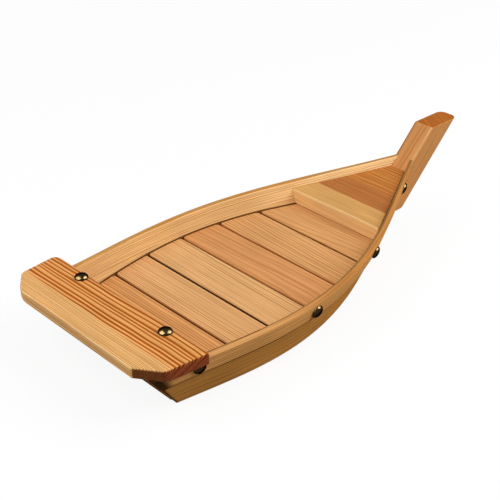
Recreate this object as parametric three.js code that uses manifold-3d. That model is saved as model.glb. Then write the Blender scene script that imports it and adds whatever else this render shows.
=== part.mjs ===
// A wooden sushi boat: a slatted serving tray between bent, flared planks, with a broad stern
// board, a thick bow deck, a leaning bow post and domed brass nails.
// Millimetres, +Z up, bow towards +X, standing on Z = 0 with the origin under its middle.
// Until the last lines X is counted from the aft edge of the stern board.
import * as THREE from "three";
import { mergeVertices } from "three/addons/utils/BufferGeometryUtils.js";
import Module from "manifold-3d";

const wasm = await Module();
wasm.setup();

const clearance = 0.3; // between pieces that touch
const edgeEase = 1; // softened arrises of the planks and boards

// Bow post
const postFootX = 318; // aft corner of the foot
const postFootHeight = 18.5;
const postHeight = 67.5; // from the foot to the top cut
const postDepth = 36; // fore and aft, measured level
const postWidth = 20;
const postLean = 45; // degrees forward of upright
const postNoseRadius = 5; // its two front corners

// Stern board
const boardTop = 50;
const boardThickness = 9;
const boardDepth = 50;
const boardHalfLength = 93; // at the front edge
const boardEndTaper = 3.7; // each end draws in this much towards the cut corners
const boardCornerDepth = 15;
const boardCornerLength = 20.8;

// Hull lines. Each half-beam is a handle of a Bezier curve, spaced evenly from stern to tip.
const sternX = 7.4; // aft end of the sheer
const sternRake = 34.5; // degrees, the stern slopes forward on its way down
const sheerBeam = [82.7, 78.9, 129.4, 55.8];
const sheerHeight = [42.1, 30.8, 62.6];
const seamBeam = [80.3, 79.7, 120.4, 54.5];
const bottomBeam = [68.6, 79.4, 103.6, 26.2];
const tipTuck = 3; // each line ends this far inside the flank of the post
const sheerTipReach = 4.8; // and this far past the post's aft face
const seamTipReach = 7.4;
const bottomTipReach = 28;
const rockerStart = 230; // the flat bottom rises from here to the foot of the post

// Planks
const strakeThickness = 6; // measured level
const strakeTipThickness = 3;
const strakeTaperLength = 80; // the planks thin over this length to their bow ends
const strakeDrop = 13.3; // from the sheer to the seam
const strakeLean = 1.2; // the square-cut top edge is this much higher inside
const seamStep = 1; // the lower strake lies back this far under the upper one
const bottomThickness = 6;
const transomThickness = 6;
const transomSetback = 0.3; // inside the ends of the strakes

// Floor
const floorAftHeight = 17; // slat tops below the front edge of the stern board
const floorTilt = 3.7; // degrees, rising to the bow
const slatCount = 7;
const slatWidth = 34.4;
const slatGap = 2;
const slatThickness = 6;
const slatStartX = 21.7;
const runnerSpacing = 74;
const runnerWidth = 12;
const runnerEndSetback = 2.5; // short of the last slat's front edge

// Bow deck and stern beam
const deckThickness = 12.4;
const deckTilt = 6.7; // degrees
const deckLap = 4; // how far the last slat runs under the deck
const deckNoseRadius = 2;
const beamDepth = 12;
const beamHeight = 14;
const beamSetback = 1; // behind the front edge of the stern board

// Nails
const nailHeadRadius = 5.2;
const nailDome = 3.1;
const nailShankRadius = 1.1;
const boardNailLength = 18;
const sternNailLength = 18;
const tackLength = 3.2; // stays inside one plank
const boardNailInset = 6.4; // behind the front edge
const boardNailSpacing = 102;
const sternNailInset = 2; // behind the front edge of the board
const waistNailX = 159;
const bowNailX = 248;
const stemNailX = 333;
const nailDrop = 0.57; // share of the upper strake's height below the sheer

// Facets
const stations = 30;
const nailSides = 16;
const domeSteps = 4;
const noseSteps = 5;

const radians = THREE.MathUtils.degToRad;
const leanSlope = Math.tan(radians(postLean));
const rakeSlope = Math.tan(radians(sternRake));
const floorSlope = Math.tan(radians(floorTilt));
const deckSlope = Math.tan(radians(deckTilt));
const boardSeat = boardTop - boardThickness;
const overallLength = postFootX + postHeight * leanSlope + postDepth;

// Value of a Bezier curve with evenly spaced handles
function bezier(handles, t) {
  if (handles.length === 1) return handles[0];
  const shorter = handles.slice(1).map((value, i) => THREE.MathUtils.lerp(handles[i], value, t));
  return bezier(shorter, t);
}

const postAftX = (height) => postFootX + (height - postFootHeight) * leanSlope;
const sternEndX = (height) => sternX + (sheerHeight[0] - height) * rakeSlope;

// The three hull lines on the port side
const sheerTip = sheerHeight.at(-1);
const tipBeam = postWidth / 2 - tipTuck;
const sheerEndX = postAftX(sheerTip) + sheerTipReach;
const seamEndX = postAftX(sheerTip - strakeDrop) + seamTipReach;
const bottomEndX = postFootX + bottomTipReach;

const sheerHeightAt = (x) => bezier(sheerHeight, (x - sternX) / (sheerEndX - sternX));
const bottomHeightAt = (x) => {
  const share = Math.max(0, (x - rockerStart) / (bottomEndX - rockerStart));
  return postFootHeight * share ** 2;
};
const floorHeightAt = (x) => floorAftHeight + (x - boardDepth) * floorSlope;

function hullLine(startX, endX, beams, heightAt) {
  return (t) => {
    const x = THREE.MathUtils.lerp(startX, endX, t);
    return new THREE.Vector3(x, bezier([...beams, tipBeam], t), heightAt(x));
  };
}

const sheer = hullLine(sternX, sheerEndX, sheerBeam, sheerHeightAt);
const seamStartX = sternEndX(sheerHeight[0] - strakeDrop);
const seam = hullLine(seamStartX, seamEndX, seamBeam, (x) => sheerHeightAt(x) - strakeDrop);
const bottom = hullLine(sternEndX(0), bottomEndX, bottomBeam, bottomHeightAt);

// Share of the full thickness that a plank has at t
function taper(t) {
  const start = 1 - strakeTaperLength / (sheerEndX - sternX);
  const thinned = THREE.MathUtils.smoothstep(t, start, 1);
  return THREE.MathUtils.lerp(1, strakeTipThickness / strakeThickness, thinned);
}

// The way a line runs at t
const lineStep = 0.001;
const runOf = (line, t) => line(t + lineStep).sub(line(t - lineStep));

// A point of a line moved level into the hull, square to the line's run, and raised
function inboard(line, t, distance, lift = 0) {
  const run = runOf(line, t);
  const move = (distance * taper(t)) / Math.hypot(run.x, run.y);
  return line(t).add(new THREE.Vector3(run.y * move, -run.x * move, lift));
}

// A closed skin over rows of section points, with flat ends. Each patch is split along its
// shorter diagonal, so that two skins lying side by side are faceted alike.
function loft(rows) {
  const points = rows.flat();
  const count = rows[0].length;
  const index = [];
  for (let i = 0; i + 1 < rows.length; i++) {
    for (let j = 0; j < count; j++) {
      const a = i * count + j;
      const b = i * count + ((j + 1) % count);
      const c = b + count;
      const d = a + count;
      const split = points[a].distanceTo(points[c]) < points[b].distanceTo(points[d]);
      index.push(...(split ? [a, b, c, a, c, d] : [a, b, d, b, c, d]));
    }
  }
  const last = (rows.length - 1) * count;
  for (let j = 1; j + 1 < count; j++) {
    index.push(0, j + 1, j, last, last + j, last + j + 1);
  }
  return new THREE.BufferGeometry().setFromPoints(points).setIndex(index);
}

const everyStation = (section) => Array.from({ length: stations + 1 }, (_, i) => section(i / stations));
const mirrored = (point) => new THREE.Vector3(point.x, -point.y, point.z);
const toStarboard = (rows) => rows.map((row) => row.map(mirrored).reverse());

// A three.js geometry as a solid that can be joined and cut
function solidOf(geometry) {
  const bare = geometry.clone();
  bare.deleteAttribute("normal");
  bare.deleteAttribute("uv");
  const merged = mergeVertices(bare);
  const vertProperties = merged.getAttribute("position").array;
  const triVerts = Uint32Array.from(merged.index.array);
  return new wasm.Manifold(new wasm.Mesh({ numProp: 3, vertProperties, triVerts }));
}

// A side profile, as [x, z] corners, carried across the hull
function across(profile, width, middle = 0) {
  const shape = new THREE.Shape(profile.map(([x, z]) => new THREE.Vector2(x, z)));
  const geometry = new THREE.ExtrudeGeometry(shape, { depth: width, bevelEnabled: false });
  return solidOf(geometry.rotateX(Math.PI / 2).translate(0, middle + width / 2, 0));
}

const fullWidth = 2 * boardHalfLength;

// The bow post: a level outline, round at the front, swept up along its lean
function leaningPost(grow) {
  const half = postWidth / 2 + grow;
  const nose = postNoseRadius + grow;
  const front = postDepth + grow;
  const outline = new THREE.Shape();
  outline.moveTo(-grow, -half);
  outline.lineTo(front - nose, -half);
  outline.absarc(front - nose, nose - half, nose, -Math.PI / 2, 0);
  outline.absarc(front - nose, half - nose, nose, 0, Math.PI / 2);
  outline.lineTo(-grow, half);
  const depth = postHeight + 2 * grow;
  const settings = { depth, bevelEnabled: false, curveSegments: noseSteps };
  const geometry = new THREE.ExtrudeGeometry(outline, settings);
  geometry.translate(0, 0, -grow);
  geometry.applyMatrix4(new THREE.Matrix4().makeShear(0, 0, 0, 0, leanSlope, 0));
  return solidOf(geometry.translate(postFootX, 0, postFootHeight));
}

const post = leaningPost(0);
const postRoom = leaningPost(clearance);

// The planks
const upperRows = everyStation((t) => {
  const inside = strakeThickness;
  const top = sheer(t);
  const innerTop = inboard(sheer, t, inside, strakeLean * taper(t));
  const easedTop = top.clone().lerp(innerTop, edgeEase / inside);
  const easedInnerTop = innerTop.clone().lerp(top, edgeEase / inside);
  const foot = seam(t);
  const innerFoot = inboard(seam, t, inside);
  const easedSide = top.clone().lerp(foot, edgeEase / strakeDrop);
  const easedInside = innerTop.clone().lerp(innerFoot, edgeEase / strakeDrop);
  return [foot, easedSide, easedTop, easedInnerTop, easedInside, innerFoot];
});
const lowerRows = everyStation((t) => {
  const thickness = strakeThickness - seamStep;
  const foot = bottom(t);
  const innerFoot = inboard(bottom, t, thickness);
  const top = inboard(seam, t, seamStep, -clearance);
  const innerTop = inboard(seam, t, strakeThickness, -clearance);
  return [foot, top, innerTop, innerFoot];
});

// What lies between the planks, a clearance inside them and carried past both their edges
const insideOverrun = 0.5; // share of each plank's height
const insideRows = everyStation((t) => {
  const gap = clearance / taper(t);
  const low = inboard(bottom, t, strakeThickness - seamStep + gap);
  const middle = inboard(seam, t, strakeThickness + gap);
  const high = inboard(sheer, t, strakeThickness + gap, strakeLean * taper(t));
  const below = middle.clone().lerp(low, 1 + insideOverrun);
  const above = middle.clone().lerp(high, 1 + insideOverrun);
  const portSide = [below, low, middle, high, above];
  return [...portSide, ...portSide.map(mirrored).reverse()];
});
const inside = solidOf(loft(insideRows));

// The transom and the hold ahead of it, as far as the post
const sternSlope = (height, ahead) => [sternEndX(height) + ahead, height];
const seatTop = boardSeat - clearance;
const transomFront = transomSetback + transomThickness / Math.cos(radians(sternRake));
const transomProfile = [
  sternSlope(0, transomSetback),
  sternSlope(seatTop, transomSetback),
  sternSlope(seatTop, transomFront),
  sternSlope(0, transomFront),
];
const clearBelow = -boardTop; // heights well outside the hull, for cutting
const clearAbove = 2 * boardTop;
const sternProfile = [
  sternSlope(clearBelow, -boardDepth),
  sternSlope(clearAbove, -boardDepth),
  sternSlope(clearAbove, transomFront + clearance),
  sternSlope(clearBelow, transomFront + clearance),
];
const transom = across(transomProfile, fullWidth).intersect(inside);
const hold = inside.subtract(across(sternProfile, fullWidth)).subtract(postRoom);

// The bottom board, bent up to the foot of the post
function bottomCurve(lift, endX) {
  const spans = stations / 2;
  const points = [[sternX, lift]];
  for (let i = 0; i <= spans; i++) {
    const x = THREE.MathUtils.lerp(rockerStart, endX, i / spans);
    points.push([x, bottomHeightAt(x) + lift]);
  }
  return points;
}
const bottomProfile = [
  ...bottomCurve(0, bottomEndX),
  ...bottomCurve(bottomThickness, bottomEndX).reverse(),
];
const bottomBoard = across(bottomProfile, fullWidth).intersect(hold);

// The floor
const slatPitch = slatWidth + slatGap;
const slatEndX = slatStartX + slatCount * slatPitch - slatGap;
function floorSlat(startX) {
  const profile = [startX, startX + slatWidth].map((x) => [x, floorHeightAt(x)]);
  const under = profile.map(([x, z]) => [x, z - slatThickness]);
  return across([...profile, ...under.reverse()], fullWidth).intersect(hold);
}
function floorRunner(side) {
  const endX = slatEndX - runnerEndSetback;
  const drop = slatThickness + clearance;
  const profile = [
    ...bottomCurve(bottomThickness + clearance, endX),
    [endX, floorHeightAt(endX) - drop],
    [sternX, floorHeightAt(sternX) - drop],
  ];
  return across(profile, runnerWidth, (side * runnerSpacing) / 2).intersect(hold);
}

// The bow deck, rounded along its front edge and lying on the last slat
const deckFrontX = slatEndX - deckLap;
const deckFoot = floorHeightAt(slatEndX) + clearance;
const deckTop = deckFoot + deckThickness;
const deckRun = sheerEndX - deckFrontX;
const deckProfile = [
  [deckFrontX, deckFoot],
  [deckFrontX + deckRun, deckFoot + deckRun * deckSlope],
  [deckFrontX + deckRun, deckTop + deckRun * deckSlope],
];
for (let i = 0; i <= noseSteps; i++) {
  const turn = radians(90 + deckTilt) + (i / noseSteps) * radians(90 - deckTilt);
  deckProfile.push([
    deckFrontX + deckNoseRadius * (1 + Math.cos(turn)),
    deckTop + deckNoseRadius * (Math.sin(turn) - 1),
  ]);
}
const bowDeck = across(deckProfile, fullWidth).intersect(hold);

// The stern beam and the stern board
const beamFrontX = boardDepth - beamSetback;
const beamProfile = [
  [beamFrontX - beamDepth, seatTop - beamHeight],
  [beamFrontX, seatTop - beamHeight],
  [beamFrontX, seatTop],
  [beamFrontX - beamDepth, seatTop],
];
const sternBeam = across(beamProfile, fullWidth).intersect(hold);

const boardCornerEnd = boardHalfLength - boardEndTaper;
const boardPortSide = [
  [boardDepth, boardHalfLength],
  [boardCornerDepth, boardCornerEnd],
  [0, boardCornerEnd - boardCornerLength],
];
const boardStarboardSide = boardPortSide.map(([x, y]) => [x, -y]).reverse();
const boardOutline = [...boardPortSide, ...boardStarboardSide];
const boardShape = new THREE.Shape(boardOutline.map(([x, y]) => new THREE.Vector2(x, y)));
const boardGeometry = new THREE.ExtrudeGeometry(boardShape, {
  depth: boardThickness - 2 * edgeEase,
  bevelThickness: edgeEase,
  bevelSize: edgeEase,
  bevelOffset: -edgeEase,
  bevelSegments: 2,
});
const sternBoard = solidOf(boardGeometry.translate(0, 0, boardSeat + edgeEase));

// The strakes are planed flat under the stern board and fitted round the post
const boardRoomProfile = [
  [-boardDepth, seatTop],
  [boardDepth + clearance, seatTop],
  [boardDepth + clearance, clearAbove],
  [-boardDepth, clearAbove],
];
const boardRoom = across(boardRoomProfile, fullWidth);
const fittedStrake = (rows) => solidOf(loft(rows)).subtract(boardRoom).subtract(postRoom);

const pine = { color: 0xd9a768, roughness: 0.5, metalness: 0 };
const palePine = { color: 0xe2b87c, roughness: 0.5, metalness: 0 };
const redPine = { color: 0xc98a50, roughness: 0.5, metalness: 0 };
const brass = { color: 0x8a6a2c, roughness: 0.3, metalness: 1 };
const slatFinishes = [palePine, redPine, pine]; // taken in turn

const pieces = new Map();
const addPiece = (name, solid, finish) => pieces.set(name, { solid, finish });

addPiece("bottom_board", bottomBoard, pine);
addPiece("transom", transom, pine);
addPiece("bow_post", post, redPine);
addPiece("stern_board", sternBoard, pine);
addPiece("stern_beam", sternBeam, pine);
addPiece("bow_deck", bowDeck, redPine);
for (let i = 0; i < slatCount; i++) {
  const finish = slatFinishes[i % slatFinishes.length];
  addPiece(`floor_slat_${i + 1}`, floorSlat(slatStartX + i * slatPitch), finish);
}
const sides = [
  { name: "port", side: 1, turned: (rows) => rows },
  { name: "starboard", side: -1, turned: toStarboard },
];
for (const { name, side, turned } of sides) {
  addPiece(`upper_strake_${name}`, fittedStrake(turned(upperRows)), pine);
  addPiece(`lower_strake_${name}`, fittedStrake(turned(lowerRows)), pine);
  addPiece(`floor_runner_${name}`, floorRunner(side), palePine);
}

// A domed nail along +Z: its head stands on the surface and its shank goes below
function domedNail(length) {
  const profile = [
    new THREE.Vector2(0, -length),
    new THREE.Vector2(nailShankRadius, nailShankRadius - length),
    new THREE.Vector2(nailShankRadius, 0),
  ];
  for (let i = 0; i <= domeSteps; i++) {
    const turn = ((i / domeSteps) * Math.PI) / 2;
    const radius = i === domeSteps ? 0 : nailHeadRadius * Math.cos(turn);
    profile.push(new THREE.Vector2(radius, nailDome * Math.sin(turn)));
  }
  return new THREE.LatheGeometry(profile, nailSides).rotateX(Math.PI / 2);
}

// Drives a nail square into a surface, with a hole for it in each piece it enters
function driveNail(name, point, outward, length, hosts) {
  const turn = new THREE.Quaternion().setFromUnitVectors(new THREE.Vector3(0, 0, 1), outward);
  const place = new THREE.Matrix4().makeRotationFromQuaternion(turn).setPosition(point);
  const nail = domedNail(length).translate(0, 0, clearance).applyMatrix4(place);
  const holeRadius = nailShankRadius + clearance;
  const hole = new THREE.CylinderGeometry(holeRadius, holeRadius, 2 * length, nailSides);
  const bore = solidOf(hole.rotateX(Math.PI / 2).applyMatrix4(place));
  for (const host of hosts) {
    const piece = pieces.get(host);
    piece.solid = piece.solid.subtract(bore);
  }
  addPiece(name, solidOf(nail), brass);
}

// A place on the outer face of the port upper strake, with the way out of it
function onUpperStrake(x) {
  const startX = THREE.MathUtils.lerp(sternX, seamStartX, nailDrop);
  const endX = THREE.MathUtils.lerp(sheerEndX, seamEndX, nailDrop);
  const t = (x - startX) / (endX - startX);
  const point = sheer(t).lerp(seam(t), nailDrop);
  const outward = runOf(sheer, t).cross(seam(t).sub(sheer(t))).normalize();
  return { point, outward };
}

for (const { name, side } of sides) {
  const onSide = (vector) => (side > 0 ? vector : mirrored(vector));
  const boardNailY = (side * boardNailSpacing) / 2;
  const boardPoint = new THREE.Vector3(boardDepth - boardNailInset, boardNailY, boardTop);
  const up = new THREE.Vector3(0, 0, 1);
  driveNail(`nail_board_${name}`, boardPoint, up, boardNailLength, ["stern_board", "stern_beam"]);
  const strake = `upper_strake_${name}`;
  const sideNails = [
    ["stern", boardDepth - sternNailInset, sternNailLength, [strake, "stern_beam"]],
    ["waist", waistNailX, tackLength, [strake]],
    ["bow", bowNailX, tackLength, [strake]],
    ["stem", stemNailX, tackLength, [strake]],
  ];
  for (const [place, x, length, hosts] of sideNails) {
    const { point, outward } = onUpperStrake(x);
    driveNail(`nail_${place}_${name}`, onSide(point), onSide(outward), length, hosts);
  }
}

const boat = new THREE.Group();
boat.name = "sushi_boat";
for (const [name, { solid, finish }] of pieces) {
  const { vertProperties, triVerts } = solid.getMesh();
  const geometry = new THREE.BufferGeometry();
  geometry.setAttribute("position", new THREE.BufferAttribute(vertProperties, 3));
  geometry.setIndex(new THREE.BufferAttribute(triVerts, 1));
  const material = new THREE.MeshStandardMaterial({ ...finish, flatShading: true });
  const mesh = new THREE.Mesh(geometry, material);
  mesh.name = name;
  boat.add(mesh);
}
boat.position.x = -overallLength / 2;

export default boat;
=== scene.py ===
# Looks of a wooden sushi boat: planks, slats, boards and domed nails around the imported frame
from math import cos, pi, radians, sin, tan

import bpy
import numpy as np
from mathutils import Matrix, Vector


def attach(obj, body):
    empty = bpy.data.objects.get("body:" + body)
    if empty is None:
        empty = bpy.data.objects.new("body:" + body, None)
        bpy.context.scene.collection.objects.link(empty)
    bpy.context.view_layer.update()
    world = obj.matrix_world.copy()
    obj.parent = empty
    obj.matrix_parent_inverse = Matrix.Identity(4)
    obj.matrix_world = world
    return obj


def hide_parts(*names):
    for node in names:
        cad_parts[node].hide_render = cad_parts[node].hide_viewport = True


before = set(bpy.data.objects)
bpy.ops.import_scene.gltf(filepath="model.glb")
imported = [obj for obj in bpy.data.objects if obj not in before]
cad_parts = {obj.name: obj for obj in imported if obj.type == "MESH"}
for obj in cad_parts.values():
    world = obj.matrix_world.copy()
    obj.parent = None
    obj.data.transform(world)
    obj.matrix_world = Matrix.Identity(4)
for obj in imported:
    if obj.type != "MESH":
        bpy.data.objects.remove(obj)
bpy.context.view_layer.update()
print("frame loaded,", len(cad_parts), "nodes")

# Shapes are worked out in millimetres, x counted from the aft edge of the stern board
boat = {"length": 421.5, "clearance": 0.3}
perMm = 0.001  # metres in a millimetre
nudge = 0.001  # a small step along a hull line
easeSteps = 5  # rings in each eased edge of a flat piece
easeRows = 2 * easeSteps - 1

post = {"footX": 318, "foot": 18.5, "height": 67.5, "depth": 36, "width": 20, "lean": 45,
        "noseRound": 7.5, "aftRound": 1.6, "ease": 0.9, "arcSteps": 9, "arrisShade": 0.56}


def postAftX(z):  # the aft face leans forward from the foot
    return post["footX"] + (z - post["foot"]) * tan(radians(post["lean"]))


hull = {"sternX": 7.4, "sternRake": 34.5, "seamDrop": 13.3,
        "sheerBeam": (82.7, 78.9, 129.4, 55.8, 7), "sheerHeight": (42.1, 30.8, 62.6),
        "seamBeam": (80.3, 79.7, 120.4, 54.5, 7), "bottomBeam": (68.6, 79.4, 103.6, 26.2, 7),
        "sheerReach": 4.8, "seamReach": 7.4, "bottomReach": 28, "rockerStart": 230}


def unit(v):
    return v / np.maximum(np.linalg.norm(v, axis=-1, keepdims=True), 1e-9)


def curve(handles, t):  # Bezier: neighbouring handles are mixed by t until one value is left
    rows = [h + 0 * t for h in handles]
    while len(rows) > 1:
        rows = [a + (b - a) * t for a, b in zip(rows, rows[1:])]
    return rows[0]


def sternEndX(z):  # the raked stern: further forward the lower
    return hull["sternX"] + (hull["sheerHeight"][0] - z) * tan(radians(hull["sternRake"]))


sheerTip = hull["sheerHeight"][-1]
sheerEndX = postAftX(sheerTip) + hull["sheerReach"]
seamEndX = postAftX(sheerTip - hull["seamDrop"]) + hull["seamReach"]
bottomEndX = post["footX"] + hull["bottomReach"]


def sheerZ(x):
    return curve(hull["sheerHeight"], (x - hull["sternX"]) / (sheerEndX - hull["sternX"]))


def bottomZ(x):  # flat, then a square-law rise to the foot of the post
    rise = np.maximum(0, (x - hull["rockerStart"]) / (bottomEndX - hull["rockerStart"]))
    return post["foot"] * rise ** 2


lines = {
    "sheer": (hull["sternX"], sheerEndX, hull["sheerBeam"], sheerZ),
    "seam": (sternEndX(hull["sheerHeight"][0] - hull["seamDrop"]), seamEndX, hull["seamBeam"],
             lambda x: sheerZ(x) - hull["seamDrop"]),
    "bottom": (sternEndX(0), bottomEndX, hull["bottomBeam"], bottomZ),
}


def hullLine(name, t):
    startX, endX, beams, height = lines[name]
    x = startX + (endX - startX) * t
    return np.stack([x, curve(beams, t), height(x)], -1)


strake = {"thickness": 6, "tipThickness": 3, "taperLength": 80, "topLean": 1.2, "seamStep": 1, "flare": 0.2,
          "ease": 1.1, "innerEase": 2, "footEase": 0.6, "seamEase": 0.08, "endRound": {"upperPort": 4},
          "wornCorner": 2, "wornHeight": 12, "shadowedEnd": {"upper": (3, 12), "lower": (0.6, 3)},
          "endShadow": 0.62, "endShadowFade": 0.27, "arrisShade": 0.525, "seamShade": 2.4,
          "topFaces": {"upperPort": (-1, 6), "upperStarboard": (-1, 3)}, "outerFaces": {"upper": 6, "lower": 2},
          "stations": 180, "sternCrowd": 1.25, "postFrom": 0.8, "postSteps": 300, "arcSteps": 6}


def taper(t):  # full thickness, thinning by a smooth step over the bow end
    start = 1 - strake["taperLength"] / (sheerEndX - hull["sternX"])
    s = np.clip((t - start) / (1 - start), 0, 1)
    return 1 - (1 - strake["tipThickness"] / strake["thickness"]) * s * s * (3 - 2 * s)


def inboard(name, t, distance, lift=0.0):  # a line moved level and square to its run, into the hull
    run = hullLine(name, t + nudge) - hullLine(name, t - nudge)
    move = distance / np.hypot(run[..., 0], run[..., 1])
    place = hullLine(name, t)
    return place + np.stack([run[..., 1] * move, -run[..., 0] * move, lift + 0 * t], -1)


def upperCorners(t):
    full = strake["thickness"] * taper(t)
    return np.stack([hullLine("seam", t), hullLine("sheer", t),
                     inboard("sheer", t, full, strake["topLean"] * taper(t)),
                     inboard("seam", t, full)], -2)


def lowerCorners(t):
    full, gap = strake["thickness"] * taper(t), boat["clearance"]
    step = strake["seamStep"] * taper(t)
    return np.stack([hullLine("bottom", t), inboard("seam", t, step, -gap),
                     inboard("seam", t, full, -gap), inboard("bottom", t, full - step)], -2)


def insidePoint(t, level):  # inner faces: level 0 at the bottom, 1 at the seam, 2 at the sheer
    full, gap = strake["thickness"] * taper(t), boat["clearance"]
    low = inboard("bottom", t, full - strake["seamStep"] * taper(t) + gap)
    middle = inboard("seam", t, full + gap)
    high = inboard("sheer", t, full + gap, strake["topLean"] * taper(t))
    level = level[..., None]
    return np.where(level < 1, low + (middle - low) * level, middle + (high - middle) * (level - 1))


search = {"startX": 20, "run": 340, "level": 0.8, "rounds": 40, "stepX": 350, "stepLow": 30, "stepHigh": 14}


def insideBeam(x, z):  # half width between the planks at x and z, by stepping t and level to it
    x, z = np.broadcast_arrays(np.asarray(x, float), np.asarray(z, float))
    t, level = (x - search["startX"]) / search["run"], 0 * x + search["level"]
    for _ in range(search["rounds"]):
        p = insidePoint(t, level)
        t = t + (x - p[..., 0]) / search["stepX"]
        level = level + (z - p[..., 2]) / np.where(level < 1, search["stepLow"], search["stepHigh"])
    return insidePoint(t, level)[..., 1]


def floorZ(x):
    return slats["aftHeight"] + (x - board["depth"]) * tan(radians(slats["tilt"]))


board = {"top": 50, "thickness": 9, "depth": 50, "halfLength": 93, "endTaper": 3.7, "cornerDepth": 15,
         "cornerLength": 20.8, "cornerRounds": (8, 3.5, 8, 1.4, 3.4, 2), "arcSteps": 8,
         "ease": 1.5, "footEase": 1.2, "arrisHighlight": 0.45}
slats = {"count": 7, "width": 34.4, "gap": 2, "fuller": 0.2, "thickness": 6, "startX": 21.7, "aftHeight": 17,
         "tilt": 3.7, "ease": 1.1, "footEase": 0.3, "cornerRadius": 2.8, "sidePoints": 28,
         "gapShade": (1, 1, 1, 1, 1, 0.8, 0.45, 0.12, 0)}  # from the foot up, on the walls of the gaps
slatEndX = slats["startX"] + slats["count"] * (slats["width"] + slats["gap"]) - slats["gap"]


# Closed loops, and skins over rings of them
def roundedLoop(corners, radii, steps):  # each corner becomes a short Bezier between its two edges
    before = unit(np.roll(corners, 1, -2) - corners)
    after = unit(np.roll(corners, -1, -2) - corners)
    r = np.array(radii, float)[:, None]
    a, b, c = (corners + before * r), (corners + after * r), corners
    s = np.linspace(0, 1, steps)[:, None]
    bent = (1 - s) ** 2 * a[..., None, :] + 2 * s * (1 - s) * c[..., None, :] + s * s * b[..., None, :]
    return bent.reshape(*corners.shape[:-2], -1, 3)


def drawnIn(loop, axis, distance):  # corners move in until both edges have moved by the distance
    edge = unit(np.roll(loop, -1, 0) - loop)
    inward = unit(np.cross(axis, edge))
    before = np.roll(inward, 1, 0)
    miter = (inward + before) / (1 + np.sum(inward * before, -1, keepdims=True))
    distance = np.ravel(distance)
    if len(distance) > 1:  # given for one side, the other side mirrors it
        distance = np.concatenate([distance, distance[::-1]])
    return loop + miter * distance[:, None]


def tabletRings(loopAt, thickness, axis, topEase, footEase):
    # an outline carried through its thickness, drawn in at both faces along a quarter circle
    turn = np.linspace(0, pi / 2, easeSteps)
    draw = [footEase * (1 - np.sin(a)) for a in turn] + [topEase * (1 - np.cos(a)) for a in turn]
    level = [footEase * (1 - np.cos(a)) for a in turn] + [thickness - topEase * (1 - np.sin(a)) for a in turn]
    return np.stack([drawnIn(loopAt(z), np.array(axis, float), d) for z, d in zip(level, draw)])


def betweenPlanks(xs, zOf, cornerRadius=0.0):
    # a loop along the starboard planks and back along the port ones, with corners rounded off in plan
    z = zOf(xs)
    fromEnd = np.minimum(xs - xs[0], xs[-1] - xs)
    y = insideBeam(xs, z) - cornerRadius
    y = y + np.sqrt(np.maximum(0, cornerRadius ** 2 - np.maximum(0, cornerRadius - fromEnd) ** 2))
    return np.concatenate([np.stack([xs, -y, z], -1), np.stack([xs, y, z], -1)[::-1]])


def toMetres(points):
    return (points - np.array([boat["length"] / 2, 0, 0])) * perMm


sharpAngle = 38  # degrees between faces, past which an edge stays sharp


def makePiece(name, node, rings, grain, material, along=None, edgeToneAndHighlight=None, shade=None, paintedShade=None):
    # quads between neighbouring rings and a flat face at each end, turned outwards by the volume
    n, m = rings.shape[:2]
    points = toMetres(rings.reshape(-1, 3))
    i, j = np.meshgrid(np.arange(n - 1) * m, np.arange(m), indexing="ij")
    k = (j + 1) % m
    quads = np.stack([i + j, i + k, i + m + k, i + m + j], -1).reshape(-1, 4)
    a, b, c, d = (points[quads[:, q]] for q in range(4))
    firstFan = np.stack([0 * np.arange(1, m - 1), np.arange(2, m), np.arange(1, m - 1)], -1)
    fan = np.concatenate([firstFan, firstFan[:, ::-1] + (n - 1) * m])
    fa, fb, fc = (points[fan[:, q]] for q in range(3))
    volume = np.sum(a * np.cross(b, c)) + np.sum(a * np.cross(c, d)) + np.sum(fa * np.cross(fb, fc))
    faces = quads.tolist() + [list(range(m))[::-1], list(range((n - 1) * m, n * m))]
    if volume < 0:
        faces = [face[::-1] for face in faces]
    mesh = bpy.data.meshes.new(name)
    mesh.from_pydata(points.tolist(), [], faces)
    if grain is not None:
        mesh.attributes.new("grain", "FLOAT_VECTOR", "POINT").data.foreach_set("vector", grain.ravel() * perMm)
        normals = np.zeros(len(mesh.polygons) * 3)
        mesh.polygons.foreach_get("normal", normals)
        if along is None:  # the run of the rings themselves
            run = unit(np.diff(rings.mean(1), axis=0))
            run = np.concatenate([np.repeat(run, m, 0), run[:1], run[-1:]])
        else:
            run = unit(np.array(along, float))
        cut = np.abs(np.sum(normals.reshape(-1, 3) * run, -1))
        # painted shade, put in as the darker colour of cut ends
        if paintedShade is not None:
            cut[:-2] = np.maximum(cut[:-2], paintedShade.ravel())
        mesh.attributes.new("endGrainAndShade", "FLOAT", "FACE").data.foreach_set("value", cut)
        for label, marks in [("edgeToneAndHighlight", edgeToneAndHighlight), ("shade", shade)]:
            marks = np.zeros((n - 1, m)) + (0 if marks is None else marks)
            mesh.attributes.new(label, "FLOAT", "FACE").data.foreach_set("value", np.append(marks, [0, 0]))
    mesh.shade_smooth()
    mesh.set_sharp_from_angle(angle=radians(sharpAngle))
    mesh.materials.append(material)
    piece = bpy.data.objects.new(name, mesh)
    bpy.context.scene.collection.objects.link(piece)
    evenNormals = piece.modifiers.new("evenNormals", "WEIGHTED_NORMAL")
    evenNormals.keep_sharp = True
    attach(piece, "root")
    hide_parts(node)
    return piece


# Materials
def linear(red, green, blue):  # a screen colour, 0 to 255, as the scene's linear colour
    c = np.array([red, green, blue]) / 255
    return (*np.where(c <= 0.04045, c / 12.92, ((c + 0.055) / 1.055) ** 2.4), 1.0)


def addNode(tree, kind, inputs=None, **settings):
    made = tree.nodes.new(kind)
    for key, value in settings.items():
        setattr(made, key, value)
    for key, value in (inputs or {}).items():
        if isinstance(value, bpy.types.NodeSocket):
            tree.links.new(value, made.inputs[key])
        else:
            made.inputs[key].default_value = value
    return made


def maths(tree, operation, *values):
    return addNode(tree, "ShaderNodeMath", dict(enumerate(values)), operation=operation).outputs[0]


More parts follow.
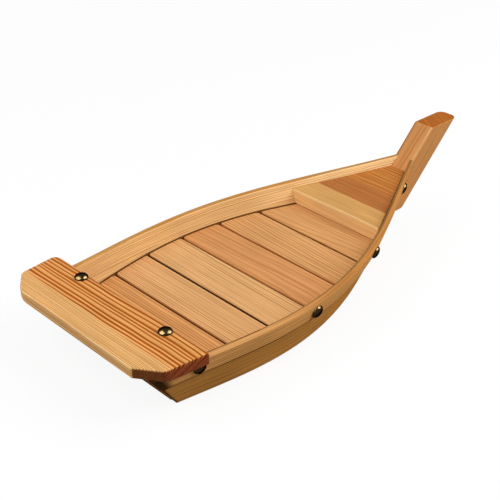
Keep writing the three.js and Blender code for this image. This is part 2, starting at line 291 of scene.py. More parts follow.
def vectors(tree, operation, *values):
    made = addNode(tree, "ShaderNodeVectorMath", dict(enumerate(values)), operation=operation)
    return made.outputs["Value" if operation == "LENGTH" else "Vector"]


def remap(tree, value, low, high, toLow=0.0, toHigh=1.0):
    return addNode(tree, "ShaderNodeMapRange", {"Value": value, 1: low, 2: high, 3: toLow, 4: toHigh},
                   interpolation_type="SMOOTHSTEP").outputs[0]


def blend(tree, amount, a, b, mode="MIX"):
    return addNode(tree, "ShaderNodeMix", {0: amount, 6: a, 7: b}, data_type="RGBA", blend_type=mode).outputs[2]


def noise(tree, vector, scale, detail=2.0, output=0):
    return addNode(tree, "ShaderNodeTexNoise", {"Vector": vector, "Scale": scale, "Detail": detail}).outputs[output]


def newGroup(name, inputs, outputs):
    tree = bpy.data.node_groups.new(name, "ShaderNodeTree")
    for label, kind in inputs.items():
        tree.interface.new_socket(label, in_out="INPUT", socket_type="NodeSocket" + kind)
    for label, kind in outputs.items():
        tree.interface.new_socket(label, in_out="OUTPUT", socket_type="NodeSocket" + kind)
    return tree, tree.nodes.new("NodeGroupInput").outputs, tree.nodes.new("NodeGroupOutput").inputs


growth = {"slow": (0.009, 0.02, 0.02), "thread": (0.02, 1.0, 1.0), "unevenScale": 0.45, "uneven": 1.3,
          "rise": (0.25, 0.75), "fall": (0.86, 1.0), "faintest": 0.55, "lateRelief": 0.7}


def makeBoardFigure():
    # growth rings round a pith that runs along the board, a little tilted, cut by its faces: the ring
    # number is the distance from the pith over the ring width, plus denser rings on one side of an
    # edge, and each ring darkens slowly and ends sharply
    tree, given, out = newGroup(
        "boardFigure",
        {"Grain": "Vector", "Ring Width": "Float", "Pith Across": "Float", "Pith Depth": "Float", "Tilt": "Float",
         "Wander": "Float", "Dense Edge": "Float", "Dense": "Float", "Seed": "Float"},
        {"Late": "Float", "Fibre": "Float", "Cloud": "Float", "Relief": "Float"})
    offset = addNode(tree, "ShaderNodeCombineXYZ", {0: given["Seed"], 1: given["Seed"], 2: given["Seed"]}).outputs[0]
    mm = vectors(tree, "MULTIPLY", given["Grain"], (1000, 1000, 1000))
    slow = vectors(tree, "ADD", vectors(tree, "MULTIPLY", mm, growth["slow"]), offset)
    sway = vectors(tree, "SUBTRACT", noise(tree, slow, 1, 2, 1), (0.5, 0.5, 0.5))
    wide = addNode(tree, "ShaderNodeCombineXYZ", {1: given["Wander"], 2: given["Wander"]}).outputs[0]
    swayed = vectors(tree, "ADD", mm, vectors(tree, "MULTIPLY", sway, vectors(tree, "MULTIPLY", (0, 2, 2), wide)))
    place = addNode(tree, "ShaderNodeSeparateXYZ", {0: swayed}).outputs
    across = maths(tree, "SUBTRACT", place[1], given["Pith Across"])
    tilted = maths(tree, "MULTIPLY_ADD", place[0], given["Tilt"], place[2])
    depth = maths(tree, "SUBTRACT", tilted, given["Pith Depth"])
    fromPith = maths(tree, "SQRT", maths(tree, "ADD", maths(tree, "MULTIPLY", across, across),
                                         maths(tree, "MULTIPLY", depth, depth)))
    beyond = maths(tree, "MAXIMUM", maths(tree, "SUBTRACT", given["Dense Edge"], place[1]), 0.0)
    ring = maths(tree, "ADD", maths(tree, "DIVIDE", fromPith, given["Ring Width"]),
                 maths(tree, "MULTIPLY", beyond, given["Dense"]))
    uneven = addNode(tree, "ShaderNodeTexNoise", {"W": maths(tree, "ADD", ring, given["Seed"]), "Detail": 1.0,
                                                  "Scale": growth["unevenScale"]}, noise_dimensions="1D")
    ring = maths(tree, "MULTIPLY_ADD", uneven.outputs[0], growth["uneven"], ring)
    share = maths(tree, "FRACT", ring)
    dark = maths(tree, "MULTIPLY", remap(tree, share, *growth["rise"]), remap(tree, share, *growth["fall"], 1.0, 0.0))
    each = addNode(tree, "ShaderNodeTexWhiteNoise",
                   {"W": maths(tree, "ADD", maths(tree, "FLOOR", ring), given["Seed"])}, noise_dimensions="1D")
    strength = remap(tree, each.outputs[0], 0.0, 1.0, growth["faintest"], 1.0)
    tree.links.new(maths(tree, "MULTIPLY", dark, strength), out["Late"])
    thread = vectors(tree, "ADD", vectors(tree, "MULTIPLY", mm, growth["thread"]), offset)
    fibre = noise(tree, thread, 1, 3)
    tree.links.new(fibre, out["Fibre"])
    tree.links.new(noise(tree, vectors(tree, "MULTIPLY", slow, (2, 1.5, 1.5)), 1, 2), out["Cloud"])
    tree.links.new(maths(tree, "MULTIPLY_ADD", dark, growth["lateRelief"], fibre), out["Relief"])
    return tree


boardFigure = makeBoardFigure()
finish = {"roughness": 0.46, "roughLines": 0.06, "sheen": 0.03, "bump": 0.2, "bumpDepth": 0.00025,
          "fibre": 0.12, "fibreSpan": (0.32, 0.68), "cloud": 0.05, "cloudSpan": (0.25, 0.75),
          "cut": (118, 60, 28), "cutLine": (66, 26, 10), "cutAmount": 0.95, "cutSpan": (0.35, 0.62),
          "slantFibre": (0.35, 0.65), "slantSpan": (0.6, 0.85), "edge": (198, 134, 70), "edgeAmount": 0.8,
          "crevice": (140, 82, 38), "floorSoft": (0.0003, 0.0012), "seamSoft": 0.7}


def belowFloorLine(tree):  # 1 below the floor's top, 0 above it and ahead of the slats
    where = addNode(tree, "ShaderNodeTexCoord").outputs["Object"]
    place = addNode(tree, "ShaderNodeSeparateXYZ", {0: where}).outputs
    slope = tan(radians(slats["tilt"]))
    start = (slats["aftHeight"] + (boat["length"] / 2 - board["depth"]) * slope) * perMm
    above = maths(tree, "SUBTRACT", maths(tree, "MULTIPLY_ADD", place[0], -slope, place[2]), start)
    low = remap(tree, above, *finish["floorSoft"], 1.0, 0.0)
    floorEnd = (slatEndX - boat["length"] / 2) * perMm
    return maths(tree, "MULTIPLY", low, maths(tree, "LESS_THAN", place[0], floorEnd))


def woodMaterial(name, look):
    # pale early wood and darker late-wood lines, fibres, slow clouds, darker cut ends and plank edges, with painted
    # highlights on arrises and painted shade on plank ends, arrises, gaps and seams
    material = bpy.data.materials.new(name)
    material.use_nodes = True
    tree = material.node_tree
    shader = tree.nodes["Principled BSDF"]
    grain = addNode(tree, "ShaderNodeAttribute", attribute_name="grain").outputs["Vector"]
    figure = addNode(tree, "ShaderNodeGroup", node_tree=boardFigure)
    tree.links.new(grain, figure.inputs["Grain"])
    for label, key in [("Ring Width", "ringWidth"), ("Pith Across", "pithAcross"), ("Pith Depth", "pithDepth"),
                       ("Tilt", "tilt"), ("Wander", "wander"), ("Dense Edge", "denseEdge"), ("Dense", "dense"),
                       ("Seed", "seed")]:
        figure.inputs[label].default_value = look.get(key, 0.0)
    late, fibre, cloud = (figure.outputs[key] for key in ("Late", "Fibre", "Cloud"))
    late = remap(tree, late, *look.get("lateSpan", (0.0, 1.0)))
    colour = blend(tree, maths(tree, "MULTIPLY", late, look["lines"]), linear(*look["pale"]), linear(*look["line"]))
    for zone in look.get("zones", ()):  # bands of other wood across the board
        across = addNode(tree, "ShaderNodeSeparateXYZ", {0: grain}).outputs[1]
        edge = maths(tree, "MULTIPLY_ADD", maths(tree, "SUBTRACT", cloud, 0.5), zone["waver"] * perMm, across)
        mask = remap(tree, edge, (zone["start"] - zone["soft"]) * perMm, (zone["start"] + zone["soft"]) * perMm)
        lined = maths(tree, "MULTIPLY", late, zone["lines"])
        colour = blend(tree, mask, colour, blend(tree, lined, linear(*zone["pale"]), linear(*zone["line"])))
    # edge colour: painted highlights on post, board and deck arrises, and the planks' top-edge colour
    rim = addNode(tree, "ShaderNodeAttribute", attribute_name="edgeToneAndHighlight").outputs["Fac"]
    edge = linear(*look.get("edge", finish["edge"]))
    run = addNode(tree, "ShaderNodeSeparateXYZ", {0: grain}).outputs
    if "edgeBow" in look:  # top edges shift to another colour along the run, on the port upper plank as painted shade towards the bow
        edge = blend(tree, remap(tree, run[0], *look["edgeRun"]), edge, linear(*look["edgeBow"]))
    # painted light: the plank's colour is brightened towards the bow
    if "bow" in look:
        gain = blend(tree, remap(tree, run[0], *look["bowLightRun"]), (1, 1, 1, 1), (*look["bow"], 1))
        colour = blend(tree, 1.0, colour, gain, "MULTIPLY")
    colour = blend(tree, maths(tree, "MULTIPLY", rim, finish["edgeAmount"]), colour, edge)
    strands = remap(tree, fibre, *finish["fibreSpan"], 1 - finish["fibre"], 1 + finish["fibre"])
    clouds = remap(tree, cloud, *finish["cloudSpan"], 1 - finish["cloud"], 1 + finish["cloud"])
    colour = blend(tree, 1.0, colour, maths(tree, "MULTIPLY", strands, clouds), "MULTIPLY")
    cut = addNode(tree, "ShaderNodeAttribute", attribute_name="endGrainAndShade").outputs["Fac"]
    cutAmount = remap(tree, cut, *finish["cutSpan"], 0.0, finish["cutAmount"])
    cutTone, cutLine = (linear(*look.get(key, finish[key])) for key in ("cut", "cutLine"))
    cutWood = blend(tree, late, cutTone, cutLine)
    if "oblique" in look:  # cut aslant, between the face and the end
        slanted = remap(tree, fibre, *finish["slantFibre"])
        aslant = blend(tree, slanted, linear(*look["oblique"]), linear(*look["obliqueLine"]))
        cutWood = blend(tree, remap(tree, cut, *finish["slantSpan"]), aslant, cutWood)
    colour = blend(tree, cutAmount, colour, cutWood)
    crevice = addNode(tree, "ShaderNodeAttribute", attribute_name="shade").outputs["Fac"]
    if look.get("floorLine"):  # the inside darkens where the floor meets it, and the outside darkens under the seam as painted shadow
        seam = remap(tree, run[1], look["seamLine"] * perMm, (look["seamLine"] + finish["seamSoft"]) * perMm)
        crevice = blend(tree, crevice, seam, belowFloorLine(tree))
    colour = blend(tree, crevice, colour, linear(*look.get("crevice", finish["crevice"])))
    tree.links.new(colour, shader.inputs["Base Color"])
    rough = maths(tree, "MULTIPLY_ADD", late, finish["roughLines"], finish["roughness"])
    tree.links.new(rough, shader.inputs["Roughness"])
    bump = addNode(tree, "ShaderNodeBump", {"Strength": look.get("bump", finish["bump"]),
                                            "Distance": finish["bumpDepth"], "Height": figure.outputs["Relief"]})
    tree.links.new(bump.outputs[0], shader.inputs["Normal"])
    shader.inputs["Specular IOR Level"].default_value = look.get("sheen", finish["sheen"])
    return material


def affineGrain(rings, along, across):  # board coordinates: along the fibres, across the face, through it
    along, across = unit(np.array(along, float)), unit(np.array(across, float))
    axes = np.stack([along, across, np.cross(along, across)])
    return rings.reshape(-1, 3) @ axes.T


# Strakes: rounded sections carried along the hull lines, each edge ending where it meets the post
def strakeRings(cornersAt, radii, endRound):
    steps, gap = strake["arcSteps"], boat["clearance"]
    loopAt = lambda t: roundedLoop(cornersAt(t), radii, steps)
    t = np.linspace(strake["postFrom"], 1, strake["postSteps"])
    loops = loopAt(t)
    x, y, z = loops[..., 0], loops[..., 1], loops[..., 2]
    intoPost = np.minimum(x - postAftX(z) + gap, post["width"] / 2 + gap - y)
    intoPost = np.minimum(intoPost, z - post["foot"] + gap)
    entered = np.maximum.accumulate(intoPost, 0)
    first = np.clip(np.sum(entered < 0, 0), 1, len(t) - 1)
    column = np.arange(loops.shape[1])
    g0, g1 = intoPost[first - 1, column], intoPost[first, column]
    endT = np.where(entered[-1] < 0, 1, t[first - 1] + (t[1] - t[0]) * np.clip(-g0 / (g1 - g0), 0, 1))
    # stations are closer together at the stern
    rows = np.linspace(0, 1, strake["stations"])[:, None] ** strake["sternCrowd"] * endT
    rings = loopAt(rows)[:, column, column]
    seat = board["top"] - board["thickness"] - gap  # planed flat under the stern board
    under = rings[..., 0] < board["depth"] + gap
    rings[..., 2] = np.where(under, np.minimum(rings[..., 2], seat), rings[..., 2])
    if cornersAt is lowerCorners:  # the lower aft corner is worn round
        fromEnd = rings[..., 0] - sternEndX(rings[..., 2])
        short = np.maximum(0, strake["wornCorner"] - fromEnd)
        lift = strake["wornCorner"] - np.sqrt(np.maximum(0, strake["wornCorner"] ** 2 - short ** 2))
        rings[..., 2] += lift * np.clip(1 - rings[..., 2] / strake["wornHeight"], 0, 1)
    # the aft end is rounded off in plan
    short = np.maximum(0, endRound - rings[..., 0] + sternEndX(rings[..., 2]))
    outer = np.clip((rings[..., 1] - rings[..., 1].mean(1, keepdims=True)) / strake["thickness"] + 0.5, 0, 1)
    rings[..., 1] -= outer * (endRound - np.sqrt(np.maximum(0, endRound ** 2 - short ** 2)))
    middle = rings.mean(1)
    run = np.concatenate([[0], np.cumsum(np.linalg.norm(np.diff(middle, axis=0), axis=1))])
    face = np.linalg.norm(cornersAt(rows[:, 0])[:, 0] - cornersAt(rows[:, 0])[:, 1], axis=-1)
    up = rings[..., 2] - middle[:, 2:3]
    out = (rings[..., 1] - middle[:, 1:2]) - up * strake["flare"]
    grain = np.stack([run[:, None] + 0 * up, up * (face.mean() / np.ptp(up, axis=1))[:, None], out], -1)
    return rings, grain


strakeLooks = {
    "upperPort": dict(pale=(248, 206, 144), line=(210, 152, 88), lines=0.9, ringWidth=1.5, pithAcross=-160,
                      pithDepth=40, wander=3, seed=3.1, edge=(188, 127, 57), edgeBow=(160, 106, 42),
                      edgeRun=(0.22, 0.34), bow=(1.21, 1.31, 1.48), bowLightRun=(0.2, 0.33)),
    "upperStarboard": dict(pale=(252, 186, 110), line=(204, 132, 65), lines=0.9, ringWidth=1.7, pithAcross=-170,
                           pithDepth=30, wander=3, seed=8.4, edge=(216, 160, 102),
                           edgeBow=(176, 114, 56), edgeRun=(0.05, 0.2)),
    "lowerPort": dict(pale=(246, 204, 142), line=(210, 152, 88), lines=0.9, ringWidth=1.6, pithAcross=150,
                      pithDepth=60, wander=3, seed=5.7, crevice=(116, 70, 32)),
    "lowerStarboard": dict(pale=(243, 172, 88), line=(181, 114, 50), lines=1.0, ringWidth=1.9, pithAcross=150,
                           pithDepth=50, wander=4, seed=1.9, crevice=(84, 48, 20)),
}
# the dark cut colour is the planks' end grain, and also their painted shade at the aft end and inner arris
strakeShared = dict(floorLine=True, sheen=0.0, lateSpan=(0.1, 0.75), cut=(52, 28, 12), cutLine=(34, 16, 8),
                    crevice=(146, 90, 42), seamLine=99)  # out of reach, as only the lower planks have one
mirror = np.array([1, -1, 1])


def paintedPlankShade(rings, key):  # painted shade, dark towards the aft end and along the inner top arris to starboard
    fromEnd = (rings[:-1, :, 0] - sternEndX(rings[:-1, :, 2]))
    reach = strake["shadowedEnd"]["upper" if "upper" in key else "lower"]
    paintedShade = strake["endShadow"] - strake["endShadowFade"] * np.clip((fromEnd - reach[0]) / (reach[1] - reach[0]), 0, 1)
    if key == "upperStarboard":
        paintedShade[:, 2 * strake["arcSteps"]:3 * strake["arcSteps"] - 1] = strake["arrisShade"]
    return paintedShade


strakeRadii = {"upper": (strake["footEase"], strake["ease"], strake["innerEase"], strake["seamEase"]),
               "lower": (strake["footEase"], strake["footEase"], strake["seamEase"], strake["footEase"])}
# faces round a section, counted from the middle of its outer top arris
spans = np.arange(4 * strake["arcSteps"]) - strake["arcSteps"] * 1.5 + 0.5
topSpans = {key: ((spans >= first) & (spans <= last)).astype(float)
            for key, (first, last) in strake["topFaces"].items()}
insideSpans = {level: (spans > last).astype(float) for level, last in strake["outerFaces"].items()}
for sideName, side in [("Port", np.ones(3)), ("Starboard", mirror)]:
    for level, cornersAt in [("upper", upperCorners), ("lower", lowerCorners)]:
        key = level + sideName
        rings, grain = strakeRings(cornersAt, strakeRadii[level], strake["endRound"].get(key, 0.0))
        look = strakeShared | strakeLooks[key]
        # painted shadow: the outside darkens below its top edge, under the upper plank
        if level == "lower":
            look["seamLine"] = grain[..., 1].max() - strake["seamShade"]
        makePiece(level + "Strake" + sideName, f"{level}_strake_{sideName.lower()}", rings * side, grain,
                  woodMaterial(key + "Wood", look),
                  edgeToneAndHighlight=topSpans.get(key), shade=insideSpans[level], paintedShade=paintedPlankShade(rings, key))
print("strakes made")

# Bow post: a rounded outline swept up along its lean
postCorners = np.array([[0, -post["width"] / 2, 0], [post["depth"], -post["width"] / 2, 0],
                        [post["depth"], post["width"] / 2, 0], [0, post["width"] / 2, 0]], float)
postRounds = (post["aftRound"], post["noseRound"], post["noseRound"], post["aftRound"])
postOutline = roundedLoop(postCorners, postRounds, post["arcSteps"])


def postLoop(level):
    return postOutline + [postAftX(post["foot"] + level), 0, post["foot"] + level]


postLook = dict(pale=(220, 154, 92), line=(193, 123, 61), lines=0.7, ringWidth=2.6, pithAcross=60, pithDepth=-90,
                wander=4, seed=4.2, cut=(175, 97, 22), cutLine=(148, 74, 14),
                edge=(242, 186, 122))
rings = tabletRings(postLoop, post["height"], (0, 0, 1), post["ease"], post["ease"])
lean = radians(post["lean"])
postRun = (sin(lean), 0, cos(lean))
steps = post["arcSteps"]
aftArrisHighlight = np.zeros(4 * steps)
aftArrisHighlight[:steps - 1] = 1  # painted highlight along the aft starboard arris
# painted shade along the aft port arris and the port part of the top arris
portArrisShade = np.zeros((easeRows, 4 * steps))
portArrisShade[:, 3 * steps + 1:4 * steps - 1] = portArrisShade[easeSteps:, 2 * steps:4 * steps - 1] = post["arrisShade"]
makePiece("bowPost", "bow_post", rings, affineGrain(rings, postRun, (0, 1, 0)),
          woodMaterial("bowPostWood", postLook), along=postRun, edgeToneAndHighlight=aftArrisHighlight, paintedShade=portArrisShade)
print("bow post made")

# Stern board: a flat board with cut-off aft corners and softened arrises
boardCorner = board["halfLength"] - board["endTaper"]
portEdge = [[board["depth"], board["halfLength"], 0], [board["cornerDepth"], boardCorner, 0],
            [0, boardCorner - board["cornerLength"], 0]]
boardCorners = np.array(portEdge + [[x, -y, z] for x, y, z in portEdge[::-1]], float)
boardOutline = roundedLoop(boardCorners, board["cornerRounds"], board["arcSteps"])  # rounder to port
rings = tabletRings(lambda level: boardOutline + [0, 0, board["top"] - board["thickness"] + level],
                    board["thickness"], (0, 0, 1), board["ease"], board["footEase"])
steps = board["arcSteps"]
boardArrisHighlight = np.zeros((easeRows, len(boardOutline)))
# painted highlight along the aft top arris
boardArrisHighlight[easeSteps + 1:easeSteps + 3, 2 * steps - 1:3 * steps] = board["arrisHighlight"]
boardLook = dict(pale=(236, 186, 122), line=(198, 136, 74), lines=0.9, ringWidth=1.65, pithAcross=185,
                 pithDepth=255, tilt=0.012, wander=2, seed=2.6, bump=0.5, denseEdge=19.5, dense=0.45,
                 lateSpan=(0.08, 0.55), cut=(189, 88, 46), cutLine=(26, 8, 4), oblique=(128, 55, 8),
                 obliqueLine=(77, 31, 4), edge=(255, 222, 170),
                 zones=[dict(start=19.5, soft=0.8, waver=3, pale=(228, 162, 93), line=(164, 84, 22), lines=1.0)])
makePiece("sternBoard", "stern_board", rings, affineGrain(rings, (0, 1, 0), (1, 0, 0)),
          woodMaterial("sternBoardWood", boardLook), along=(0, 1, 0), edgeToneAndHighlight=boardArrisHighlight)
print("stern board made")

# Floor slats, laid across between the planks
slatLooks = [
    dict(pale=(224, 170, 110), line=(200, 142, 84), lines=0.7, ringWidth=2.4, pithAcross=-90, pithDepth=-60,
         wander=3, seed=6.6),
    dict(pale=(226, 164, 103), line=(182, 116, 58), lines=0.9, ringWidth=2.7, pithAcross=-70, pithDepth=-60,
         wander=3, seed=1.3),
    dict(pale=(228, 175, 118), line=(186, 126, 72), lines=0.9, ringWidth=1.8, pithAcross=-120, pithDepth=40,
         wander=1.5, seed=7.7),
    dict(pale=(226, 175, 118), line=(190, 134, 78), lines=0.8, ringWidth=2.1, pithAcross=-60, pithDepth=60,
         tilt=0.05, wander=2, seed=9.2, crevice=(40, 20, 10)),
    dict(pale=(212, 150, 94), line=(184, 117, 65), lines=0.5, ringWidth=4.2, pithAcross=120, pithDepth=-60,
         wander=6, seed=0.4, crevice=(196, 124, 68)),
    dict(pale=(218, 162, 104), line=(181, 121, 69), lines=0.8, ringWidth=2.2, pithAcross=330, pithDepth=50,
         tilt=-0.06, wander=2, seed=5.1, crevice=(174, 106, 54)),
    dict(pale=(220, 164, 105), line=(191, 131, 75), lines=0.6, ringWidth=2.4, pithAcross=360, pithDepth=30,
         tilt=0.14, wander=4, seed=3.8),
]
transom = {"thickness": 6, "setback": 0.3, "foot": 0.8, "ease": 0.4, "sidePoints": 16}
rake = radians(hull["sternRake"])
transomFront = transom["setback"] + transom["thickness"] / cos(rake)


def holdStartX(z):  # ahead of the transom
    return sternEndX(z) + transomFront + boat["clearance"]


gapShade = np.tile(np.array(slats["gapShade"])[:, None], 2 * slats["sidePoints"])
for index, look in enumerate(slatLooks):
    startX = slats["startX"] + index * (slats["width"] + slats["gap"])
    endX = startX + slats["width"] + slats["fuller"]
    startX = max(startX, holdStartX(floorZ(startX) - slats["thickness"])) - slats["fuller"] * (index > 0)
    xs = startX + (endX - startX) * (1 - np.cos(np.linspace(0, pi, slats["sidePoints"]))) / 2
    rings = tabletRings(
        lambda level: betweenPlanks(xs, lambda x: floorZ(x) - slats["thickness"] + level, slats["cornerRadius"]),
        slats["thickness"], (0, 0, 1), slats["ease"], slats["footEase"])
    makePiece(f"floorSlat{index + 1}", f"floor_slat_{index + 1}", rings, affineGrain(rings, (0, 1, 0), (1, 0, 0)),
              woodMaterial(f"floorSlat{index + 1}Wood", look), along=(0, 1, 0), shade=gapShade)
print("floor slats made")

# Bow deck: a thick board between the planks, on the last slat and against the post
deck = {"thickness": 12.4, "tilt": 6.7, "lap": 4, "frontEase": 1.8, "sideEase": 0.3, "footEase": 0.4,
        "sidePoints": 60, "arrisHighlight": 1, "frontPaintedLight": 0.88}
deckFrontX = slatEndX - deck["lap"]
deckFoot = floorZ(slatEndX) + boat["clearance"]
deckSlope = tan(radians(deck["tilt"]))


def deckLoop(level):
    reach = postAftX(deckFoot + level) - boat["clearance"] - deckFrontX * deckSlope
    endX = reach / (1 - deckSlope)  # where the deck's slope meets the post's aft face
    xs = deckFrontX + (endX - deckFrontX) * np.linspace(0, 1, deck["sidePoints"])
    return betweenPlanks(xs, lambda x: deckFoot + level + (x - deckFrontX) * deckSlope)


deckLook = dict(pale=(210, 159, 95), line=(200, 146, 83), lines=0.4, ringWidth=2.4, pithAcross=200, pithDepth=-60,
                wander=2.5, seed=7.3, edge=(246, 200, 138),
                zones=[dict(start=291.5, soft=0.9, waver=3, pale=(179, 112, 59), line=(165, 97, 46), lines=0.5),
                       dict(start=317, soft=7, waver=6, pale=(202, 132, 64), line=(148, 76, 26), lines=1.0)])
deckEase = np.full(deck["sidePoints"], deck["sideEase"])
deckEase[0] = deck["frontEase"]
# painted light on the riser face, and a painted highlight on its top arris
frontLight = np.zeros((easeRows, 2 * deck["sidePoints"]))
frontLight[:, -1] = deck["frontPaintedLight"]
frontLight[easeSteps:, -1] = deck["arrisHighlight"]
rings = tabletRings(deckLoop, deck["thickness"], (0, 0, 1), deckEase, deck["footEase"])
makePiece("bowDeck", "bow_deck", rings, affineGrain(rings, (0, 1, 0), (1, 0, 0)),
          woodMaterial("bowDeckWood", deckLook), along=(0, 1, 0), edgeToneAndHighlight=frontLight)
print("bow deck made")

# Inner and under pieces: bottom board, transom, stern beam and floor runners
innerLook = dict(pale=(228, 176, 116), line=(198, 140, 82), lines=0.8, ringWidth=2.8, pithAcross=-70, pithDepth=-80,
                 wander=6, seed=2.2)
innerWood = woodMaterial("innerWood", innerLook)
bottomBoard = {"thickness": 6, "tipX": 340, "ease": 0.3, "footEase": 0.8, "sidePoints": 90}


def bottomLoop(level):
    xs = np.linspace(holdStartX(level), bottomBoard["tipX"], bottomBoard["sidePoints"])
    return betweenPlanks(xs, lambda x: np.minimum(bottomZ(x) + level, post["foot"] - boat["clearance"]))


rings = tabletRings(bottomLoop, bottomBoard["thickness"], (0, 0, 1), bottomBoard["ease"], bottomBoard["footEase"])
makePiece("bottomBoard", "bottom_board", rings, affineGrain(rings, (1, 0, 0), (0, 1, 0)), innerWood,
          along=(1, 0, 0))

seatTop = board["top"] - board["thickness"] - boat["clearance"]


def transomLoop(level):
    z = np.linspace(transom["foot"], seatTop, transom["sidePoints"])
    x = sternEndX(z) + transom["setback"] + level / cos(rake)
    y = insideBeam(x, z)
    return np.concatenate([np.stack([x, y, z], -1), np.stack([x, -y, z], -1)[::-1]])


rings = tabletRings(transomLoop, transom["thickness"], (cos(rake), 0, sin(rake)), transom["ease"], transom["ease"])
# darker wood as painted shade, for its place under the stern board
transomShadeLook = dict(sheen=0.0, pale=(152, 98, 52), line=(112, 68, 32), lines=0.8, ringWidth=2.2, pithAcross=-60,
                   pithDepth=-90, wander=4, seed=1.1)
makePiece("transom", "transom", rings, affineGrain(rings, (0, 1, 0), (-sin(rake), 0, cos(rake))),
          woodMaterial("transomShadeWood", transomShadeLook), along=(0, 1, 0))

beam = {"depth": 12, "height": 14, "setback": 1, "ease": 0.8, "arcSteps": 4, "stations": 9}
beamFrontX, beamFoot = board["depth"] - beam["setback"], seatTop - beam["height"]
beamCorners = np.array([[beamFrontX - beam["depth"], 0, beamFoot], [beamFrontX, 0, beamFoot],
                        [beamFrontX, 0, seatTop], [beamFrontX - beam["depth"], 0, seatTop]], float)
section = roundedLoop(beamCorners, (beam["ease"],) * 4, beam["arcSteps"])
reach = insideBeam(section[:, 0], section[:, 2])
share = np.linspace(-1, 1, beam["stations"])[:, None, None]
rings = section + share * reach[:, None] * np.array([0, 1, 0])
makePiece("sternBeam", "stern_beam", rings, affineGrain(rings, (0, 1, 0), (1, 0, 0)), innerWood,
          along=(0, 1, 0))

runner = {"spacing": 74, "width": 12, "endSetback": 2.5, "ease": 0.6, "arcSteps": 4, "stations": 40}
for sideName, side in [("Port", 1), ("Starboard", -1)]:
    gap = boat["clearance"]
    x = np.linspace(holdStartX(bottomBoard["thickness"]), slatEndX - runner["endSetback"], runner["stations"])
    low = bottomZ(x) + bottomBoard["thickness"] + gap
    high = floorZ(x) - slats["thickness"] - gap
    inner, outer = (runner["spacing"] + np.array([-1, 1]) * runner["width"]) / 2
    outerLow, outerHigh = np.minimum(outer, insideBeam(x, low)), np.minimum(outer, insideBeam(x, high))
    inner = inner + 0 * x
    corners = np.stack([np.stack([x, y, z], -1) for y, z in
                        [(inner, low), (outerLow, low), (outerHigh, high), (inner, high)]], -2)
    rings = roundedLoop(corners, (runner["ease"],) * 4, runner["arcSteps"]) * np.array([1, side, 1])
    makePiece("floorRunner" + sideName, "floor_runner_" + sideName.lower(), rings,
              affineGrain(rings, (1, 0, 0), (0, 1, 0)), innerWood, along=(1, 0, 0))
print("inner pieces made")

# Domed nails
nail = {"headRadius": 5.4, "dome": 3.2, "rim": 0.25, "lip": 0.3, "crown": 0.15, "shankRadius": 1.1,
        "tipRadius": 0.2, "tipLength": 1, "boardLength": 18, "boardInset": 6,
        "boardPlace": {"port": 50.2, "starboard": 51.6}, "sides": 40, "domeSteps": 14,
        "colour": (48, 39, 24), "dark": (38, 31, 19), "rimTint": (0.2, 0.16, 0.1, 1), "roughness": 0.2,
        "tarnishScale": 420, "tarnishSpan": (0.4, 0.7), "tarnishRough": 0.06}
nailPlaces = {  # along the boat, shank length, share of the way from sheer to seam
    "stern": (48, 5.5, 0.45), "waist": (159, 3.2, 0.57), "bow": (248, 3.2, 0.57), "stem": (333, 3.2, 0.57)}


def brassMaterial():
    material = bpy.data.materials.new("nailBrass")
    material.use_nodes = True
    tree = material.node_tree
    shader = tree.nodes["Principled BSDF"]
    place = addNode(tree, "ShaderNodeTexCoord").outputs["Object"]
    tarnish = remap(tree, noise(tree, place, nail["tarnishScale"], 3), *nail["tarnishSpan"])
    tree.links.new(blend(tree, tarnish, linear(*nail["colour"]), linear(*nail["dark"])), shader.inputs["Base Color"])
    rough = maths(tree, "MULTIPLY_ADD", tarnish, nail["tarnishRough"], nail["roughness"])
    tree.links.new(rough, shader.inputs["Roughness"])
    shader.inputs["Metallic"].default_value = 1.0
    shader.inputs["Specular Tint"].default_value = nail["rimTint"]
    return material


nailBrass = brassMaterial()


def nailRings(point, outward, length):  # a profile turned round the nail's axis: tip, shank, underside, dome
    turn = np.linspace(0, pi / 2, nail["domeSteps"], endpoint=False)
    radius = np.concatenate([[nail["tipRadius"], nail["shankRadius"], nail["shankRadius"],
                              nail["headRadius"] - nail["lip"]],
                             nail["headRadius"] * np.cos(turn), [nail["crown"]]])
    height = np.concatenate([[-length, -length + nail["tipLength"], 0, 0],
                             nail["rim"] + (nail["dome"] - nail["rim"]) * np.sin(turn), [nail["dome"]]])
    angle = np.linspace(0, 2 * pi, nail["sides"], endpoint=False)
    offAxis = np.array([0.3, 0.1, 1.0]) if abs(outward[2]) < 0.9 else np.array([1.0, 0, 0])
    aside = unit(np.cross(outward, offAxis))
    over = np.cross(outward, aside)
    ring = np.cos(angle)[:, None] * aside + np.sin(angle)[:, None] * over
    lift = (height + boat["clearance"])[:, None, None] * outward
    return point + radius[:, None, None] * ring + lift


def onUpperStrake(x, drop):  # a place on the outer face with the way out of it
    startX = lines["sheer"][0] + (lines["seam"][0] - lines["sheer"][0]) * drop
    endX = lines["sheer"][1] + (lines["seam"][1] - lines["sheer"][1]) * drop
    t = np.array((x - startX) / (endX - startX))
    sheer, seam = hullLine("sheer", t), hullLine("seam", t)
    run = hullLine("sheer", t + nudge) - hullLine("sheer", t - nudge)
    return sheer + (seam - sheer) * drop, unit(np.cross(run, seam - sheer))


nails = []
for sideName, side in [("port", np.array([1, 1, 1])), ("starboard", mirror)]:
    point = np.array([board["depth"] - nail["boardInset"], nail["boardPlace"][sideName], board["top"]]) * side
    rings = nailRings(point, np.array([0.0, 0, 1]), nail["boardLength"])
    name = "nailBoard" + sideName.title()
    nails.append(makePiece(name, f"nail_board_{sideName}", rings, None, nailBrass))
    for place, (x, length, drop) in nailPlaces.items():
        point, outward = onUpperStrake(x, drop)
        rings = nailRings(point * side, outward * side, length)
        name = "nail" + place.title() + sideName.title()
        nails.append(makePiece(name, f"nail_{place}_{sideName}", rings, None, nailBrass))
print("nails made")

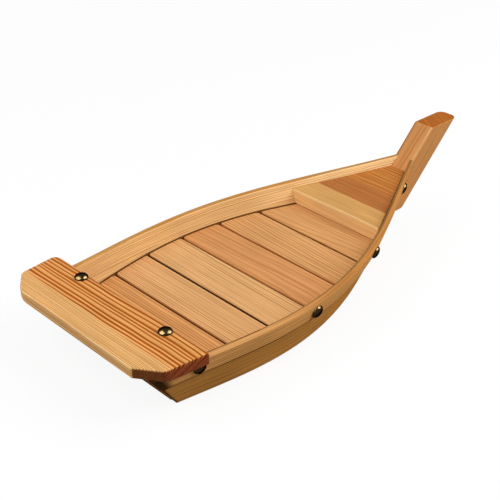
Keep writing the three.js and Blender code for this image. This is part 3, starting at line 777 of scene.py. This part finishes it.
# Stage: pale floor, lamps, world and camera
stage = {"floorSize": 30, "floorDrop": 0.0004, "bounce": (130, 130, 130), "whiteShare": 0.9,
         "whiteFrom": (0.5, 1.3), "sky": 0.27}


def inSight(tree):  # 1 for what the camera, gloss and glass show
    path = addNode(tree, "ShaderNodeLightPath").outputs
    mirrored = maths(tree, "MAXIMUM", path["Is Glossy Ray"], path["Is Transmission Ray"])
    return maths(tree, "MAXIMUM", path["Is Camera Ray"], mirrored)


def floorMaterial():  # a pale floor that takes the shadow; it is seen nearly white, and all white far off
    material = bpy.data.materials.new("floorPale")
    material.use_nodes = True
    tree = material.node_tree
    tree.nodes.clear()
    seen = inSight(tree)
    tone = blend(tree, seen, linear(*stage["bounce"]), (1, 1, 1, 1))
    matt = addNode(tree, "ShaderNodeBsdfDiffuse", {"Color": tone}).outputs[0]
    white = addNode(tree, "ShaderNodeEmission", {"Color": (1, 1, 1, 1), "Strength": 1.0}).outputs[0]
    away = vectors(tree, "LENGTH", addNode(tree, "ShaderNodeTexCoord").outputs["Object"])
    share = remap(tree, away, *stage["whiteFrom"], stage["whiteShare"], 1.0)
    amount = maths(tree, "MULTIPLY", seen, share)
    mixed = addNode(tree, "ShaderNodeMixShader", {0: amount, 1: matt, 2: white})
    addNode(tree, "ShaderNodeOutputMaterial", {0: mixed.outputs[0]})
    return material


half, level = stage["floorSize"] / 2, -stage["floorDrop"]
floorMesh = bpy.data.meshes.new("floor")
floorCorners = [(-half, -half, level), (half, -half, level), (half, half, level), (-half, half, level)]
floorMesh.from_pydata(floorCorners, [], [(0, 1, 2, 3)])
floorMesh.materials.append(floorMaterial())
floor = bpy.data.objects.new("floor", floorMesh)
bpy.context.scene.collection.objects.link(floor)

lamps = {  # large soft boxes: degrees from aft towards starboard, height in degrees, metres away, size, watts
    "left": (-18, 40, 1.4, (1.5, 1.5), 12.9),
    "right": (136, 42, 1.4, (1.1, 1.3), 16.1),
    "leftShine": (-18, 40, 1.35, (1.5, 1.5), 240),  # the nails alone show these, in their gloss
    "rightShine": (136, 42, 1.35, (1.1, 1.3), 210),
}
nailSet = bpy.data.collections.new("nails")
for piece in nails:
    nailSet.objects.link(piece)
for name, (turn, height, away, size, watts) in lamps.items():
    turn, height = radians(turn), radians(height)
    data = bpy.data.lights.new(name, "AREA")
    data.shape, data.energy = "RECTANGLE", watts
    data.size, data.size_y = size
    lamp = bpy.data.objects.new(name, data)
    lamp.location = Vector((-cos(turn) * cos(height), -sin(turn) * cos(height), sin(height))) * away
    lamp.rotation_euler = lamp.location.to_track_quat("Z", "Y").to_euler()
    bpy.context.scene.collection.objects.link(lamp)
    if name.endswith("Shine"):
        lamp.visible_diffuse = False
        lamp.light_linking.receiver_collection = nailSet

world = bpy.data.worlds.new("studio")  # a dim even sky, white where it is seen
world.use_nodes = True
sky = world.node_tree
sky.nodes["Background"].inputs["Color"].default_value = (1, 1, 1, 1)
skyLevel = maths(sky, "MAXIMUM", stage["sky"], inSight(sky))
sky.links.new(skyLevel, sky.nodes["Background"].inputs["Strength"])
bpy.context.scene.world = world

view = {"place": (-0.56467, -0.58101, 0.50313), "turn": (59.589, 0.882, -42.722), "lens": 81.25, "sensor": 36}
cameraData = bpy.data.cameras.new("camera")
cameraData.lens, cameraData.sensor_width = view["lens"], view["sensor"]
camera = bpy.data.objects.new("camera", cameraData)
camera.location = view["place"]
camera.rotation_euler = [radians(a) for a in view["turn"]]
bpy.context.scene.collection.objects.link(camera)
bpy.context.scene.camera = camera
bpy.context.scene.view_settings.view_transform = "Standard"
print("stage and camera set")
